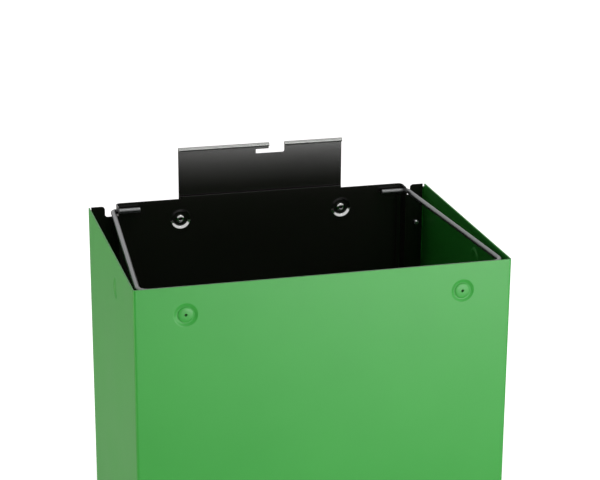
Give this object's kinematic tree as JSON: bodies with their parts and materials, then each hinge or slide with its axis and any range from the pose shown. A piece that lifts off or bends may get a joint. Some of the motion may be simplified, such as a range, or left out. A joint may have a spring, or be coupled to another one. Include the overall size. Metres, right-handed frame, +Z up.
{
  "type": "waste bin",
  "caption": "Upright rectangular sheet-steel waste bin, open at the top, with a black carrier panel, a notched tab above the rim and a swinging wire bag hoop.",
  "frame": {"origin": "on the ground, under the middle of the body", "axes": "+Z up; the front wall faces -Y; +X is to the right seen from the front"},
  "size_m": [0.4226, 0.3058, 0.6665],
  "materials": {
    "green_paint": "satin powder coat",
    "black_paint": "satin powder coat",
    "galvanised": "galvanised",
    "wire": "drawn wire, zinc plated",
    "zinc": "zinc plated",
    "rivet_metal": "plain",
    "rubber": "matt"
  },
  "bodies": {
    "bin": {"shell": "green_paint", "rear_plate": "black_paint", "base_pan": "galvanised", "carrier_panel": "black_paint", "hoop_rest_left": "green_paint", "hoop_rest_right": "green_paint", "rest_rivets": "green_paint", "carrier_screws": "zinc", "carrier_nuts": "black_paint", "rear_rivets_left": "rivet_metal", "rear_rivets_right": "rivet_metal", "base_rivets": "rivet_metal", "foot_front_left": "rubber", "foot_front_right": "rubber", "foot_rear_left": "rubber", "foot_rear_right": "rubber", "foot_screws": "zinc", "foot_washers": "zinc", "foot_nuts": "zinc"},
    "hoop": {"bag_hoop": "wire"}
  },
  "joints": [
    {"name": "hoop_hinge", "type": "hinge", "parent": "bin", "child": "hoop", "pos_m": [0, 0.1363, 0.5965], "axis": [-1, 0, 0], "range_deg": [0, 205]}
  ]
}
